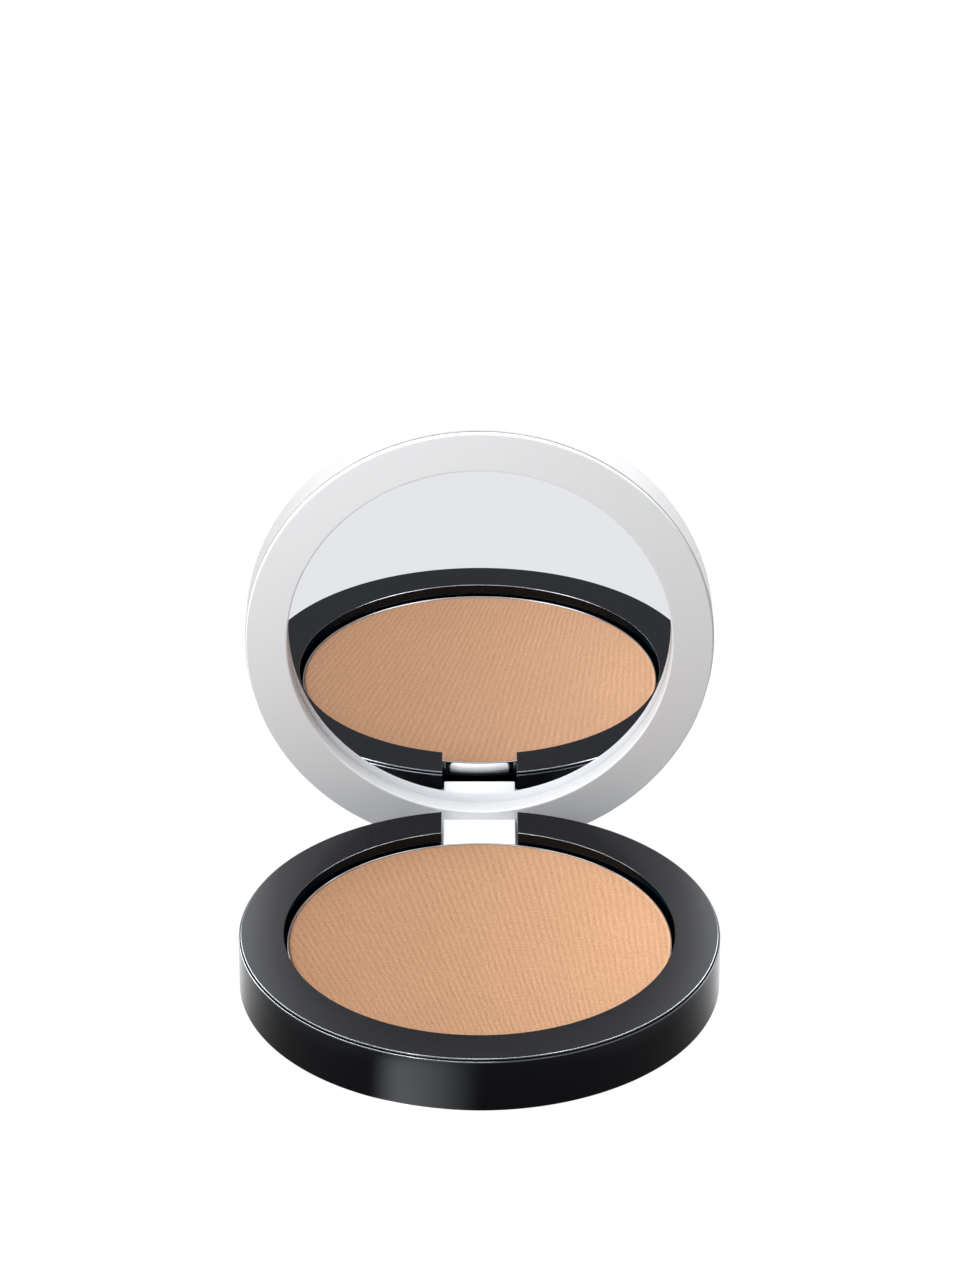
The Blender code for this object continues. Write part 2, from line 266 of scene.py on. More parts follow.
class Finish:
    """A Principled material and short calls that add nodes to it."""

    def __init__(self, name, colour, roughness, metallic=0.0, **inputs):
        self.material = bpy.data.materials.new(name)
        self.material.use_nodes = True
        self.tree = self.material.node_tree
        self.shader = self.tree.nodes["Principled BSDF"]
        self.set("Base Color", (*colour, 1.0))
        self.set("Roughness", roughness)
        self.set("Metallic", metallic)
        for key, value in inputs.items():
            self.set(key.replace("_", " "), value)
        self.place = self.node("ShaderNodeTexCoord").outputs["Object"]

    def set(self, key, value):
        self.shader.inputs[key].default_value = value

    def node(self, kind, **settings):
        made = self.tree.nodes.new(kind)
        for key, value in settings.items():
            setattr(made, key, value)
        return made

    def link(self, source, target):
        self.tree.links.new(source, target)

    def feed(self, source, key):
        self.link(source, self.shader.inputs[key])

    def math(self, operation, first, second=None, third=None):
        made = self.node("ShaderNodeMath", operation=operation)
        for socket, value in zip(made.inputs, (first, second, third)):
            if isinstance(value, (int, float)):
                socket.default_value = value
            elif value is not None:
                self.link(value, socket)
        return made.outputs[0]

    def stretched(self, scale):
        """The object's own coordinates, scaled per axis."""
        made = self.node("ShaderNodeMapping")
        made.inputs["Scale"].default_value = scale
        self.link(self.place, made.inputs["Vector"])
        return made.outputs[0]

    def noise(self, size, detail=3.0, vector=None, roughness=0.5):
        """Noise whose features are about size across, in metres."""
        made = self.node("ShaderNodeTexNoise")
        made.inputs["Scale"].default_value = 1.0 / size
        made.inputs["Detail"].default_value = detail
        made.inputs["Roughness"].default_value = roughness
        self.link(vector or self.place, made.inputs["Vector"])
        return made.outputs["Fac"]

    def spread(self, value, low, high, from_low=0.3, from_high=0.7):
        made = self.node("ShaderNodeMapRange")
        self.link(value, made.inputs["Value"])
        limits = {"From Min": from_low, "From Max": from_high, "To Min": low, "To Max": high}
        for key, number in limits.items():
            made.inputs[key].default_value = number
        return made.outputs[0]

    def smooth(self, value, low, high, from_low, from_high):
        made = self.spread(value, low, high, from_low, from_high)
        made.node.interpolation_type = "SMOOTHSTEP"
        return made

    def mix(self, factor, first, second):
        made = self.node("ShaderNodeMix", data_type="RGBA")
        self.link(factor, made.inputs["Factor"])
        for socket, value in ((made.inputs[6], first), (made.inputs[7], second)):
            if isinstance(value, tuple):
                socket.default_value = (*value, 1.0)
            else:
                self.link(value, socket)
        return made.outputs[2]

    def bump(self, height, strength, distance):
        made = self.node("ShaderNodeBump")
        made.inputs["Strength"].default_value = strength
        made.inputs["Distance"].default_value = distance
        self.link(height, made.inputs["Height"])
        self.feed(made.outputs["Normal"], "Normal")


def black_plastic(name, shade, ior, roughness, hairline=0.06):
    """Black ABS with faint haze and hairlines that run round the part."""
    made = Finish(name, (shade, shade, shade), roughness, IOR=ior, Specular_Tint=(0.88, 0.91, 1.0, 1.0))
    haze = made.noise(16 * MM, 2.0)
    made.feed(made.spread(haze, roughness * 0.96, roughness * 1.04), "Roughness")
    dark, light = ((shade * f * 0.92, shade * f, shade * f * 1.22) for f in (0.93, 1.07))
    made.feed(made.mix(haze, dark, light), "Base Color")
    hairlines = made.noise(0.22 * MM, 2.0, made.stretched((0.01, 0.01, 1.0)))
    made.bump(hairlines, hairline, 0.006 * MM)
    return made.material


def well_wall():
    """Dark coating of the well wall; its cool tint keeps the powder's reflection neutral."""
    made = Finish("black_well", (0.015, 0.022, 0.030), 0.12, 1.0, Specular_Tint=(0.38, 0.46, 0.56, 1.0))
    hairlines = made.noise(0.22 * MM, 2.0, made.stretched((0.01, 0.01, 1.0)))
    made.feed(made.spread(hairlines, 0.10, 0.16), "Roughness")
    made.feed(made.mix(hairlines, (0.016, 0.021, 0.028), (0.019, 0.024, 0.031)), "Base Color")
    return made.material


def white_plastic(name, colour):
    """Satin white ABS with a very fine moulded texture and faint flow variation."""
    made = Finish(name, colour, 0.36)
    made.set("Subsurface Weight", 0.06)
    made.set("Subsurface Radius", (1.0, 0.9, 0.8))
    made.set("Subsurface Scale", 0.6 * MM)
    flow = made.noise(14 * MM, 3.0)
    darker = tuple(c * 0.985 for c in colour)
    made.feed(made.mix(flow, darker, colour), "Base Color")
    grain = made.noise(0.22 * MM, 3.0)
    made.feed(made.spread(grain, 0.32, 0.40), "Roughness")
    made.bump(grain, 0.10, 0.006 * MM)
    return made.material


def drawn_aluminium(name):
    """Bright drawn sheet with fine lines round the axis."""
    made = Finish(name, (0.93, 0.93, 0.93), 0.10, 1.0)
    lines = made.noise(0.25 * MM, 3.0, made.stretched((0.02, 0.02, 1.0)))
    made.feed(made.spread(lines, 0.07, 0.13), "Roughness")
    grain = made.noise(1.5 * MM, 3.0)
    made.feed(made.mix(grain, (0.91, 0.91, 0.92), (0.95, 0.95, 0.95)), "Base Color")
    made.bump(lines, 0.08, 0.004 * MM)
    return made.material


def silvered_glass():
    """Mirror: silver seen through slightly cool glass, with a trace of haze."""
    made = Finish("mirror_silver", (0.90, 0.912, 0.945), 0.0, 1.0)
    haze = made.noise(12 * MM, 4.0)
    made.feed(made.spread(haze, 0.0, 0.012, 0.45, 0.75), "Roughness")
    tint = made.mix(haze, (0.90, 0.912, 0.945), (0.89, 0.904, 0.94))
    made.feed(tint, "Base Color")
    return made.material


def glass_edge():
    """Ground edge of the mirror glass."""
    made = Finish("mirror_edge", (0.55, 0.62, 0.60), 0.35)
    grain = made.noise(0.3 * MM, 3.0)
    made.feed(made.spread(grain, 0.25, 0.5), "Roughness")
    return made.material


def fine_metal(name, colour, roughness):
    made = Finish(name, colour, roughness, 1.0)
    lines = made.noise(0.3 * MM, 3.0, made.stretched((0.05, 1.0, 1.0)))
    made.feed(made.spread(lines, roughness * 0.8, roughness * 1.25), "Roughness")
    made.bump(lines, 0.08, 0.005 * MM)
    return made.material


def soft_film(name, colour, roughness, grain_size):
    made = Finish(name, colour, roughness)
    grain = made.noise(grain_size, 3.0)
    made.feed(made.spread(grain, roughness * 0.85, min(roughness * 1.2, 1.0)), "Roughness")
    made.feed(made.mix(grain, tuple(c * 0.93 for c in colour), colour), "Base Color")
    made.bump(grain, 0.15, 0.01 * MM)
    return made.material


# ---------------------------------------------------------------- pressed powder

RIB_PITCH = 0.97 * MM
FAN_CENTRE = (32.0 * MM, -160.0 * MM)
FAN_REACH = 163.0 * MM
RIB_ANGLE = RIB_PITCH / FAN_REACH
RIB_HEIGHT = 0.038 * MM


def powder_material():
    """Tan pressed powder: fine grains, soft mottling, and faint painted shade along the ribs from the
    press cloth.
    """
    made = Finish("pressed_powder", (0.60, 0.34, 0.20), 0.85)
    made.set("Specular IOR Level", 0.30)
    made.set("Sheen Weight", 0.12)
    made.set("Sheen Roughness", 0.5)
    made.set("Sheen Tint", (1.0, 0.86, 0.74, 1.0))
    # Painted rib shade: the colour follows the rib wave of the cake's relief, lighter and darker in
    # step with it.
    split = made.node("ShaderNodeSeparateXYZ")
    made.link(made.place, split.inputs[0])
    across = made.math("SUBTRACT", split.outputs["X"], FAN_CENTRE[0])
    along = made.math("SUBTRACT", split.outputs["Y"], FAN_CENTRE[1])
    phase = made.math("MULTIPLY", made.math("ARCTAN2", across, along), TURN / RIB_ANGLE)
    wobble = made.spread(made.noise(4 * MM, 2.0), -0.7, 0.7)
    ribs = made.math("SINE", made.math("ADD", phase, wobble))
    patch = made.spread(made.noise(2.2 * MM, 3.0), 0.2, 1.0)
    ribs = made.math("MULTIPLY", ribs, patch)
    grain = made.noise(0.26 * MM, 3.0, roughness=0.7)
    speck = made.noise(0.45 * MM, 3.0)
    tone_and_rib_shade = made.math("MULTIPLY_ADD", ribs, 0.20, made.spread(grain, -0.90, 0.90))
    tone_and_rib_shade = made.math("ADD", tone_and_rib_shade, made.spread(speck, -0.16, 0.16))
    tone_and_rib_shade = made.math("ADD", tone_and_rib_shade, made.spread(made.noise(11 * MM, 2.0), 0.44, 0.56))
    made.feed(made.mix(tone_and_rib_shade, (0.480, 0.213, 0.083), (0.640, 0.308, 0.137)), "Base Color")
    height = made.math("MULTIPLY_ADD", speck, 0.6, grain)
    made.bump(height, 0.75, 0.03 * MM)
    return made.material


def square_to_disc(u, v):
    """Even map from the square -1..1 to the unit disc."""
    radius = np.where(np.abs(u) > np.abs(v), u, v)
    other = np.where(np.abs(u) > np.abs(v), v, u)
    with np.errstate(divide="ignore", invalid="ignore"):
        turn = np.where(radius == 0, 0.0, (math.pi / 4) * other / np.where(radius == 0, 1, radius))
    wide = np.abs(u) > np.abs(v)
    x = np.where(wide, radius * np.cos(turn), radius * np.sin(turn))
    y = np.where(wide, radius * np.sin(turn), radius * np.cos(turn))
    return x, y


def smooth_waves(x, y, seed, count, short, long):
    """Smooth random field, roughly -1 to 1, as a sum of seeded plane waves."""
    random = np.random.default_rng(seed)
    total = np.zeros_like(x)
    for _ in range(count):
        turn = random.uniform(0, TURN)
        length = math.exp(random.uniform(math.log(short), math.log(long)))
        offset = random.uniform(0, TURN)
        total += np.sin(TURN * (x * math.cos(turn) + y * math.sin(turn)) / length + offset)
    return total / math.sqrt(count)


def powder_top(x, y, radius):
    """Height of the cake's face: cloth ribs, soft unevenness, and a pressed-down rim."""
    phase = np.arctan2(x - FAN_CENTRE[0], y - FAN_CENTRE[1]) / RIB_ANGLE * TURN
    phase += 0.55 * smooth_waves(x, y, 11, 12, 3 * MM, 14 * MM)
    strength = 0.65 + 0.35 * np.clip(smooth_waves(x, y, 23, 16, 0.9 * MM, 3 * MM), -1, 1)
    ribs = RIB_HEIGHT / 2 * np.sin(phase) * strength
    uneven = 0.010 * MM * smooth_waves(x, y, 37, 14, 1.2 * MM, 9 * MM)
    grains = 0.004 * MM * smooth_waves(x, y, 41, 24, 0.35 * MM, 0.7 * MM)
    away = radius - np.hypot(x, y)
    fade = np.clip(away / (0.5 * MM), 0, 1)
    rim = 0.10 * MM * np.clip(1 - away / (0.35 * MM), 0, 1) ** 2
    return CAKE_TOP + (ribs + uneven + grains) * fade - rim


def powder_cake(finish):
    radius = PAN_OUTER - 0.42 * MM
    cells = 384
    line = np.linspace(-1, 1, cells + 1)
    u, v = np.meshgrid(line, line, indexing="ij")
    x, y = square_to_disc(u, v)
    x, y = x * radius, y * radius
    z = powder_top(x, y, radius)
    top = np.stack([x, y, z], -1).reshape(-1, 3)
    index = np.arange((cells + 1) ** 2).reshape(cells + 1, cells + 1)
    corners = [index[:-1, :-1], index[1:, :-1], index[1:, 1:], index[:-1, 1:]]
    faces = np.stack(corners, -1).reshape(-1, 4)
    rim = np.concatenate([index[:-1, 0], index[-1, :-1], index[:0:-1, -1], index[0, :0:-1]])
    foot = top[rim].copy()
    foot[:, 2] = CAKE_BOTTOM
    feet = np.arange(len(rim)) + len(top)
    around = np.roll(np.arange(len(rim)), -1)
    sides = np.stack([rim, feet, feet[around], rim[around]], -1)
    mesh = bpy.data.meshes.new("powder_cake_face")
    points = np.concatenate([top, foot])
    mesh.from_pydata(points.tolist(), [], faces.tolist() + sides.tolist() + [feet.tolist()])
    bm = bmesh.new()
    bm.from_mesh(mesh)
    bpy.data.meshes.remove(mesh)
    return place("powder_cake_pressed", bm, finish, "base", ["powder_cake"], sharp=60)


# ---------------------------------------------------------------- base

def base_shell(finish):
    """Outer cup with a rounded foot and rim, hinge ears and the rear opening."""
    foot, edge = 0.45 * MM, 0.15 * MM
    inner = OUTER - WALL
    profile = [(22.4 * MM, 0.22 * MM), (22.4 * MM, 0.05 * MM), (22.5 * MM, 0.0)]
    profile += arc((OUTER - foot, foot), foot, -90, 0, 6)
    profile += [(OUTER, foot + BESIDE), (OUTER, SHELL_TOP * 0.5), (OUTER, SHELL_TOP - edge - BESIDE)]
    profile += arc((OUTER - edge, SHELL_TOP - edge), edge, 0, 90, 5)
    profile += [(inner + 0.1 * MM, SHELL_TOP), (inner, SHELL_TOP - 0.1 * MM), (inner, FLOOR_TOP)]
    shell = lathe(profile)
    for side in (-1, 1):
        xs = sorted((side * 6.35 * MM, side * 10.1 * MM))
        ear = block((xs[0], 32.3 * MM, 0.8 * MM), (xs[1], 35.75 * MM, 5.6 * MM))
        shell = combine(shell, ear, "UNION")
    slot = bar([(AXIS.y + 1.1 * MM * math.cos(t), AXIS.z + 1.1 * MM * math.sin(t))
                for t in [math.radians(180 + 15 * i) for i in range(13)]]
               + [(AXIS.y + 1.1 * MM, DECK_TOP), (AXIS.y - 1.1 * MM, DECK_TOP)], 9.5 * MM, 0.05 * MM, 1)
    shell = combine(shell, slot, "DIFFERENCE")
    opening = block((-NOTCH_HALF, 31.7 * MM, FLOOR_TOP), (NOTCH_HALF, OUTER + 1 * MM, DECK_TOP))
    shell = combine(shell, opening, "DIFFERENCE")
    return place("base_shell_polished", shell, finish, "base", ["base_shell"])


def deck_tray(finish, well_finish):
    """Deck ring with softly rounded edges, the well wall, the snap skirt and the well floor."""
    edge, lip, under = 0.14 * MM, 0.09 * MM, 0.04 * MM
    side_foot = SHELL_TOP + 0.09 * MM
    flange = DECK_TOP - 1.0 * MM
    cup = WELL + CUP_WALL
    floor_top = PAN_BOTTOM - 0.3 * MM
    outline = [(cup, floor_top - 0.4 * MM), (cup, flange), (35.1 * MM, flange),
               (35.1 * MM, flange - 1.6 * MM),
               (35.6 * MM, flange - 1.6 * MM), (35.8 * MM, flange - 1.3 * MM), (35.8 * MM, side_foot)]
    outline += arc((DECK_OUTER - under, side_foot + under), under, -90, 0, 3)
    outline += [(DECK_OUTER, DECK_TOP - edge - BESIDE)]
    outline += arc((DECK_OUTER - edge, DECK_TOP - edge), edge, 0, 90, 6)
    outline += [(DECK_OUTER - edge - BESIDE, DECK_TOP), (WELL + lip + BESIDE, DECK_TOP)]
    outline += arc((WELL + lip, DECK_TOP - lip), lip, 90, 180, 4)
    outline += [(WELL, DECK_TOP - lip - BESIDE), (WELL, DECK_TOP - 1.6 * MM),
                (WELL, floor_top - 0.4 * MM)]
    tray = notched_ring(outline, NOTCH_HALF, 0.09 * MM)
    floor_edge = cup - 0.04 * MM
    floor = lathe([(floor_edge - 0.2 * MM, TRAY_BOTTOM), (floor_edge, TRAY_BOTTOM + 0.2 * MM),
                   (floor_edge, floor_top - 0.1 * MM), (floor_edge - 0.1 * MM, floor_top)])
    tray = combine(tray, floor, "UNION")
    piece = place("deck_tray_polished", tray, finish, "base", ["deck_tray"])
    piece.data.materials.append(well_finish)
    for face in piece.data.polygons:
        if face.center.xy.length < WELL + 0.02 * MM and face.center.z < DECK_TOP - lip:
            face.material_index = 1
    return piece


def powder_pan(finish):
    """Thin drawn pan with a rolled-over rim and a rounded foot."""
    sheet, bend = 0.36 * MM, 0.55 * MM
    half = sheet / 2
    inner = PAN_OUTER - sheet
    profile = arc((PAN_OUTER - bend, PAN_BOTTOM + bend), bend, -90, 0, 6)
    profile += [(PAN_OUTER, PAN_RIM - half - 0.5 * MM)]
    profile += arc((PAN_OUTER - half, PAN_RIM - half), half, 0, 180, 8)
    profile += [(inner, PAN_BOTTOM + sheet + 0.2 * MM), (inner - 0.2 * MM, PAN_BOTTOM + sheet)]
    return place("powder_pan_drawn", lathe(profile), finish, "base", ["powder_pan"])


def hinge_pin(finish):
    low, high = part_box("hinge_pin")
    radius = (high.z - low.z) / 2
    pin = rod(radius, (high.x - low.x) / 2, 0.15 * MM)
    pin.transform(Matrix.Translation(AXIS))
    return place("hinge_pin_turned", pin, finish, "base", ["hinge_pin"])


def base_label(finish):
    """Blank film label with a soft edge and a faint pressed border."""
    low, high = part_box("base_label")
    radius = (high.x - low.x) / 2
    thick = high.z - low.z
    soft = thick * 0.4
    groove = radius - 1.2 * MM
    profile = [(radius, high.z), (radius, low.z + soft), (radius - soft, low.z),
               (groove + 0.1 * MM, low.z),
               (groove, low.z + soft), (groove - 0.25 * MM, low.z + soft), (groove - 0.35 * MM, low.z)]
    return place("base_label_film", lathe(profile, 192), finish, "base", ["base_label"])


# ---------------------------------------------------------------- lid

def lid_shell(finish):
    """Outer cup of the lid: rounded back edge, rounded rim and a flat back."""
    back, rim = -LID_THICKNESS, -0.8 * MM
    corner, edge = 1.2 * MM, 0.18 * MM
    inner = LID_OUTER - WALL
    profile = [(2.0 * MM, back), (20.0 * MM, back), (LID_OUTER - corner - BESIDE, back)]
    profile += arc((LID_OUTER - corner, back + corner), corner, -90, 0, 12)
    profile += [(LID_OUTER, back + corner + BESIDE), (LID_OUTER, rim - edge - BESIDE)]
    profile += arc((LID_OUTER - edge, rim - edge), edge, 0, 90, 5)
    profile += arc((inner + edge, rim - edge), edge, 90, 180, 3)
    profile += [(inner, back + 1.3 * MM)]
    return place("lid_shell_moulded", lathe(profile), finish, "lid",
                 ["lid_shell"], LID)


def lid_frame(finish):
    """Mirror frame: flat face ring with a bevelled edge, recess wall and the hinge knuckle."""
    bevel, soft, lip = 0.14 * MM, 0.03 * MM, 0.28 * MM
    side_foot = -0.72 * MM
    cup = RECESS + CUP_WALL
    seat = -MIRROR_DEPTH - MIRROR_THICKNESS - 0.4 * MM
    profile = [(cup, seat - 0.8 * MM), (cup, -1.0 * MM), (35.1 * MM, -1.0 * MM), (35.1 * MM, -2.6 * MM),
               (35.6 * MM, -2.6 * MM), (35.8 * MM, -2.3 * MM), (35.8 * MM, side_foot),
               (RING_OUTER - soft, side_foot), (RING_OUTER, side_foot + soft),
               (RING_OUTER, -bevel - soft), (RING_OUTER - 0.3 * soft, -bevel + 0.3 * soft),
               (RING_OUTER - bevel + 0.3 * soft, -0.3 * soft), (RING_OUTER - bevel - soft, 0.0),
               (RING_OUTER - bevel - soft - BESIDE, 0.0), (RECESS + lip + BESIDE, 0.0)]
    profile += arc((RECESS + lip, -lip), lip, 90, 180, 5)
    profile += [(RECESS, -lip - BESIDE), (RECESS, -1.6 * MM), (RECESS, seat)]
    ring = lathe(profile)
    ring.transform(LID)
    radius = KNUCKLE_RADIUS
    turns = [math.radians(90 + 7.5 * i) for i in range(25)]
    outline = [(radius * math.cos(t), radius * math.sin(t)) for t in turns]
    outline += [(RING_PLANE + 0.5 * MM, -radius), (RING_PLANE + 0.5 * MM, radius)]
    arm = bar(outline, KNUCKLE_HALF, 0.18 * MM)
    arm.transform(HINGE)
    ring = combine(ring, arm, "UNION")
    bore = rod(1.1 * MM, KNUCKLE_HALF + 2 * MM, 0.1 * MM)
    bore.transform(HINGE)
    ring = combine(ring, bore, "DIFFERENCE")
    return place("lid_frame_moulded", ring, finish, "lid", ["lid_frame"])


def mirror(silver, edge_finish):
    """Round mirror with a fine ground edge."""
    radius, ground = RECESS + 0.04 * MM, 0.10 * MM
    front, back = -MIRROR_DEPTH, -MIRROR_DEPTH - MIRROR_THICKNESS
    profile = [(radius - ground, back), (radius, back + ground),
               (radius, front - ground), (radius - ground, front)]
    piece = place("mirror_glass", lathe(profile), silver, "lid",
                  ["mirror"], LID, sharp=20)
    piece.data.materials.append(edge_finish)
    middle = LID.translation
    for face in piece.data.polygons:
        if (face.center - middle).length > 10 * MM:
            face.material_index = 1
    return piece


def shine_edges(piece, finish, lowest):
    """Puts a glossier finish on the rounded upper edges of a base piece."""
    piece.data.materials.append(finish)
    last = len(piece.data.materials) - 1
    for face in piece.data.polygons:
        if face.center.z > lowest and 0.08 < face.normal.z < 0.985:
            face.material_index = last


def light_group(name, *pieces):
    """A set of pieces that one light is meant for."""
    chosen = bpy.data.collections.new(name)
    for piece in pieces:
        chosen.objects.link(piece)
    return chosen


def repaint(node, finish):
    """A CAD node whose shape is right keeps it and takes a better material."""
    mesh = frame["nodes"][node].data
    mesh.materials.clear()
    mesh.materials.append(finish)


# ---------------------------------------------------------------- studio

CAMERA_PLACE = (0.0, -0.7346, 0.45566)
CAMERA_PITCH = math.radians(28.289)
CAMERA_LENS = 155.48
TO_CAMERA = Vector((0.0, -math.cos(CAMERA_PITCH), math.sin(CAMERA_PITCH)))

AIM = Vector((0.0, 0.0, 20 * MM))
STRIP_BEARING = -33.2
STRIP_START = (-10.7 * MM, -35.8 * MM)
EDGE_TILT = math.radians(50)
EDGE_DISTANCE, EDGE_WIDTH, EDGE_HEIGHT = 0.6, 0.34, 0.12
EDGE_STRENGTH, PAN_EDGE_STRENGTH = 0.38, 0.06
FLOOR_LEFT, FLOOR_RIGHT = 1.88, 0.53
RIGHT_STRENGTH, RIGHT_COLOUR = 1.78, (1.0, 1.22, 1.60)
FRAME_STRENGTH, FRAME_COLOUR = 1.42, (1.0, 0.99, 0.965)
SHELL_STRENGTH = 0.64


def camera():
    data = bpy.data.cameras.new("camera")
    data.sensor_width = 36.0
    data.lens = CAMERA_LENS
    data.clip_start = 0.05
    data.clip_end = 20.0
    made = bpy.data.objects.new("camera", data)
    bpy.context.scene.collection.objects.link(made)
    made.location = CAMERA_PLACE
    made.rotation_euler = (math.radians(90) - CAMERA_PITCH, 0, 0)
    bpy.context.scene.camera = made


def area_light(name, direction, distance, width, height, strength, colour=(1, 1, 1), lit=(), shade=()):
    """Soft box aimed at the compact; strength is the brightness that it gives a white card.

    It lights only the lit pieces, and only the shade pieces block it, where either is given.
    """
    data = bpy.data.lights.new(name, "AREA")
    data.shape = "RECTANGLE"
    data.size, data.size_y = width, height
    data.energy = strength * (math.pi * distance) ** 2
    data.color = colour
    made = bpy.data.objects.new(name, data)
    bpy.context.scene.collection.objects.link(made)
    aim = Vector(direction).normalized()
    made.location = AIM + distance * aim
    made.rotation_euler = aim.to_track_quat("Z", "Y").to_euler()
    made.visible_camera = False
    if lit:
        made.light_linking.receiver_collection = light_group(f"{name}_lit", *lit)
    if shade:
        made.light_linking.blocker_collection = light_group(f"{name}_shade", *shade)
    return made


def edge_lights(name, bearings, strength, lit):
    """An arch of small lights that show only as reflections, on the rounded edges of the lit pieces."""
    level, upward = math.cos(EDGE_TILT), math.sin(EDGE_TILT)
    for count, bearing in enumerate(bearings):
        turn = math.radians(bearing)
        facing = Vector((level * math.sin(turn), -level * math.cos(turn), upward))
        mirrored = 2 * facing.dot(TO_CAMERA) * facing - TO_CAMERA
        made = area_light(f"{name}_{count}", mirrored, EDGE_DISTANCE, EDGE_WIDTH, EDGE_HEIGHT, strength)
        made.visible_diffuse = False
        made.light_linking.receiver_collection = lit


def distance(made, x, y):
    """Nodes for the length of (x, y)."""
    return made.math("SQRT", made.math("MULTIPLY_ADD", y, y, made.math("MULTIPLY", x, x)))


def studio_floor():
    """Pale table that glows.  Seen directly it is evenly white; the light it throws on the compact is
    brighter on the left, with painted shadow round the base.  In reflections it has painted shade close
    to the base and carries a painted strip of light.
    """
    bm = bmesh.new()
    bmesh.ops.create_grid(bm, x_segments=8, y_segments=8, size=3.0)
    mesh = bpy.data.meshes.new("studio_floor")
    bm.to_mesh(mesh)
    bm.free()
    made = Finish("studio_floor", (0.10, 0.10, 0.10), 1.0)
    made.set("Specular IOR Level", 0.0)
    made.set("Emission Color", (1.0, 1.0, 1.0, 1.0))
    split = made.node("ShaderNodeSeparateXYZ")
    made.link(made.place, split.inputs[0])
    x, y = split.outputs["X"], split.outputs["Y"]
    path = made.node("ShaderNodeLightPath")
    # The floor's glow for all rays but camera rays: brighter on the left, with painted shadow round the
    # base that lifts between 38 and 145 mm from the middle.
    lit = made.smooth(x, FLOOR_LEFT, FLOOR_RIGHT, -0.2, 0.2)
    lit = made.math("MULTIPLY", lit, made.smooth(distance(made, x, y), 0.15, 1.0, 38 * MM, 145 * MM))
    seen = path.outputs["Is Camera Ray"]
    unseen = made.math("SUBTRACT", 1.0, seen)
    made.feed(made.math("ADD", seen, made.math("MULTIPLY", lit, unseen)), "Emission Strength")

    # Painted shade in reflections of the floor close to the base, darker towards the front.
    painted_floor_reflection = made.smooth(y, 0.42, 1.4, -24 * MM, 6 * MM)
    # Painted strip of light on the floor, seen only in reflections; the base's wall shows it as a soft
    # highlight.
    turn = math.radians(STRIP_BEARING)
    cosine, sine = math.cos(turn), math.sin(turn)
    start_x, start_y = STRIP_START
    off = made.math("MULTIPLY_ADD", x, cosine, -start_x * cosine - start_y * sine)
    off = made.math("MULTIPLY_ADD", y, sine, off)
    along = made.math("MULTIPLY_ADD", x, sine, start_y * cosine - start_x * sine)
    along = made.math("MULTIPLY_ADD", y, -cosine, along)
    wider = made.math("MAXIMUM", made.math("MULTIPLY_ADD", along, 2 / OUTER, 1.0), 0.5)
    off = made.math("DIVIDE", off, wider)
    strip = made.math("MULTIPLY", made.smooth(off, 0.0, 9.0, -6.2 * MM, -1.0 * MM),
                      made.smooth(off, 1.0, 0.0, -1.0 * MM, 14.0 * MM))
    painted_floor_reflection = made.math("ADD", painted_floor_reflection, strip)
    away = made.smooth(distance(made, x, y), 0.0, 1.0, 45 * MM, 48 * MM)
    ahead = made.math("ADD", y, 15.5 * MM)
    seen_by_mirror = made.smooth(distance(made, x, ahead), 0.0, 1.0, 35 * MM, 37.5 * MM)
    away = made.math("MULTIPLY", away, seen_by_mirror)
    painted_floor_reflection = made.math("MULTIPLY", painted_floor_reflection, made.math("SUBTRACT", 1.0, away))
    mirrored = made.math("MULTIPLY_ADD", away, 0.87, painted_floor_reflection)
    glow = made.node("ShaderNodeEmission")
    made.link(mirrored, glow.inputs["Strength"])
    blend = made.node("ShaderNodeMixShader")
    made.link(path.outputs["Is Glossy Ray"], blend.inputs[0])
    made.link(made.shader.outputs[0], blend.inputs[1])
    made.link(glow.outputs[0], blend.inputs[2])
    made.link(blend.outputs[0], made.tree.nodes["Material Output"].inputs["Surface"])
    mesh.materials.append(made.material)
    floor = bpy.data.objects.new("studio_floor", mesh)
    bpy.context.scene.collection.objects.link(floor)


def studio_world(room, back, soft_back, top):
    """Soft surround; the backdrop low behind the object is brighter in reflections."""
    world = bpy.data.worlds.new("studio")
    bpy.context.scene.world = world
    world.use_nodes = True
    tree = world.node_tree
    tree.nodes.clear()

    def span(value, limits, result):
        made = tree.nodes.new("ShaderNodeMapRange")
        made.interpolation_type = "SMOOTHSTEP"
        for key, number in zip(("From Min", "From Max", "To Min", "To Max"), (*limits, *result)):
            made.inputs[key].default_value = number
        tree.links.new(value, made.inputs["Value"])
        return made.outputs[0]

    def product(first, second):
        made = tree.nodes.new("ShaderNodeMath")
        made.operation = "MULTIPLY"
        tree.links.new(first, made.inputs[0])
        tree.links.new(second, made.inputs[1])
        return made.outputs[0]

    place_on = tree.nodes.new("ShaderNodeTexCoord")
    split = tree.nodes.new("ShaderNodeSeparateXYZ")
    tree.links.new(place_on.outputs["Generated"], split.inputs[0])
    behind = span(split.outputs["Y"], (0.25, 0.7), (0.0, 1.0))
    band = product(behind, span(split.outputs["Z"], (0.5, 0.8), (1.0, 0.0)))
    rise = span(split.outputs["Z"], (0.5, 1.0), (room, top))
    blend = tree.nodes.new("ShaderNodeMix")
    tree.links.new(band, blend.inputs["Factor"])
    tree.links.new(rise, blend.inputs["A"])
    path = tree.nodes.new("ShaderNodeLightPath")
    behind_it = span(path.outputs["Is Diffuse Ray"], (0.0, 1.0), (back, soft_back))
    tree.links.new(behind_it, blend.inputs["B"])
    shade = tree.nodes.new("ShaderNodeBackground")
    shade.inputs["Color"].default_value = (0.985, 0.99, 1.0, 1.0)
    tree.links.new(blend.outputs[0], shade.inputs["Strength"])
    output = tree.nodes.new("ShaderNodeOutputWorld")
    tree.links.new(shade.outputs[0], output.inputs["Surface"])


# ---------------------------------------------------------------- build

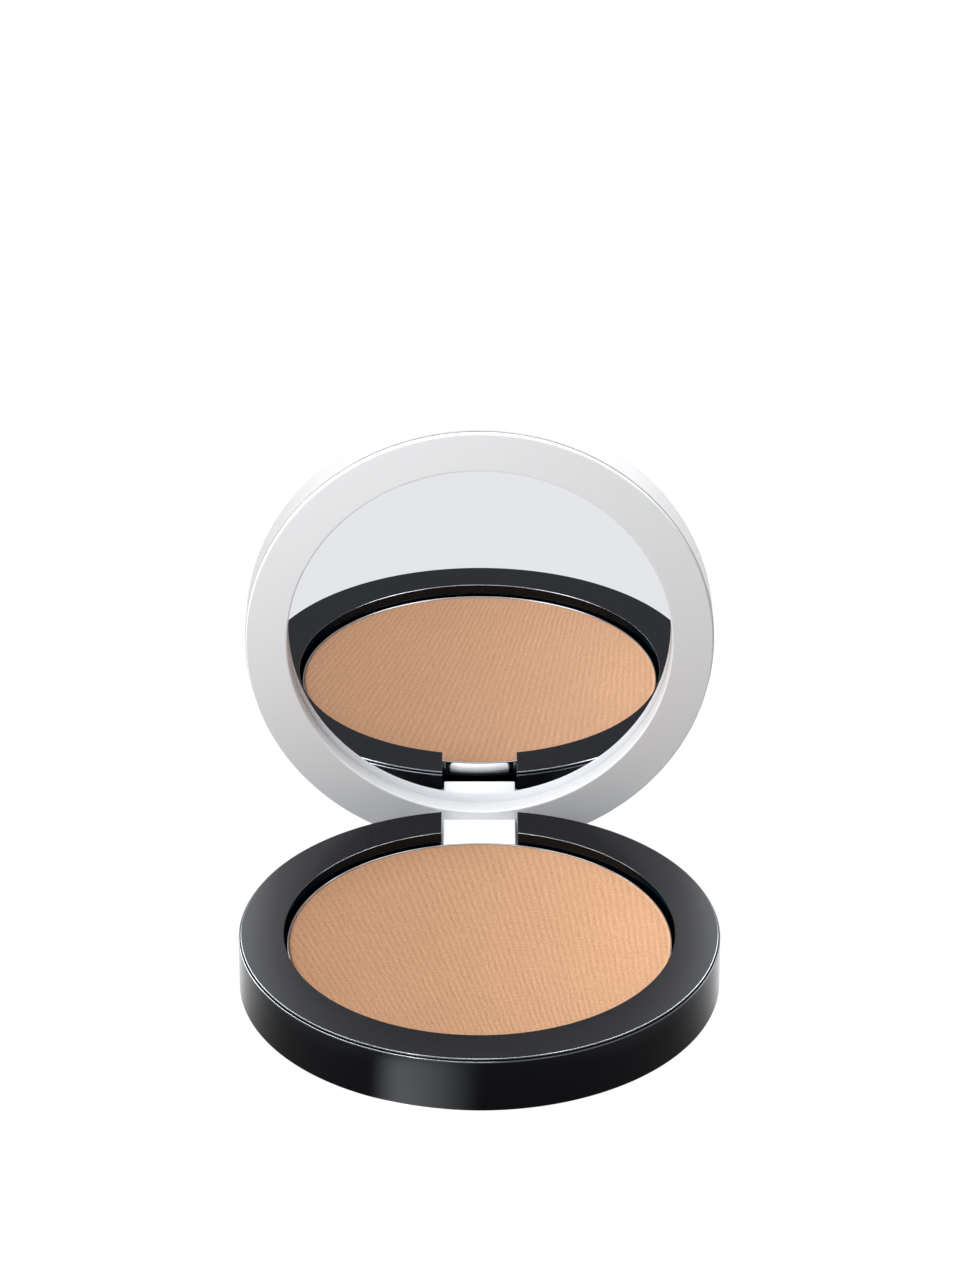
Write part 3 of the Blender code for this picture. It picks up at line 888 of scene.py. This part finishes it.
def build():
    camera()
    bpy.context.scene.view_settings.view_transform = "Standard"
    studio_floor()
    gloss = black_plastic("black_plastic", 0.0065, 1.2, 0.17)
    deck = black_plastic("black_deck", 0.0095, 1.5, 0.26, 0.0)
    edge = black_plastic("black_edge", 0.0065, 3.0, 0.09, 0.0)
    shell = base_shell(gloss)
    shine_edges(shell, edge, SHELL_TOP - 0.3 * MM)
    tray = deck_tray(deck, well_wall())
    shine_edges(tray, edge, DECK_TOP - 0.2 * MM)
    pan = powder_pan(drawn_aluminium("pan_aluminium"))
    cake = powder_cake(powder_material())
    hinge_pin(fine_metal("pin_steel", (0.60, 0.60, 0.61), 0.28))
    base_label(soft_film("label_film", (0.02, 0.02, 0.022), 0.5, 0.3 * MM))

    lid = lid_shell(white_plastic("white_plastic", (0.68, 0.683, 0.69)))
    ring = lid_frame(white_plastic("white_frame", (0.805, 0.818, 0.842)))
    mirror(silvered_glass(), glass_edge())

    studio_world(room=0.24, back=2.5, soft_back=1.1, top=0.5)
    area_light("crown_box", (-0.07, -0.10, 0.14), 0.18, 0.08, 0.05, 0.26, lit=(ring,))
    area_light("left_strip", (-0.45, -0.72, 0.70), 0.8, 0.035, 0.45, 0.10, lit=(shell, tray, lid, ring))
    area_light("right_box", (0.85, 0.18, 0.48), 0.150, 0.10, 0.10, RIGHT_STRENGTH, RIGHT_COLOUR,
               lit=(cake,), shade=(lid, ring))
    area_light("frame_box", (-0.25, 0.03, 0.96), 0.9, 0.25, 0.20, FRAME_STRENGTH, FRAME_COLOUR,
               lit=(ring,), shade=(lid, ring))
    area_light("low_box", (-0.90, -0.22, 0.12), 0.6, 0.20, 0.10, 0.16, lit=(ring,))
    area_light("shell_box", (0.25, 0.25, 0.93), 0.9, 0.30, 0.20, SHELL_STRENGTH, lit=(lid,))
    area_light("shell_side_box", (-0.95, 0.10, 0.30), 0.9, 0.30, 0.20, 0.11, lit=(lid,))
    left, right, rim = (light_group(f"{side}_edges_lit", *pieces) for side, pieces in
                        (("left", (shell, tray)), ("right", (tray,)), ("pan", (pan,))))
    edge_lights("left_edge_light", range(-72, 0, 16), EDGE_STRENGTH, left)
    edge_lights("right_edge_light", range(8, 73, 16), EDGE_STRENGTH, right)
    edge_lights("pan_edge_light", range(-56, 57, 28), PAN_EDGE_STRENGTH, rim)

    glue = soft_film("adhesive", (0.75, 0.74, 0.70), 0.6, 0.6 * MM)
    nickel = fine_metal("magnet_nickel", (0.66, 0.64, 0.60), 0.3)
    for node in ("pan_adhesive", "mirror_tape"):
        repaint(node, glue)
    for node in ("base_magnet", "lid_magnet"):
        repaint(node, nickel)


build()
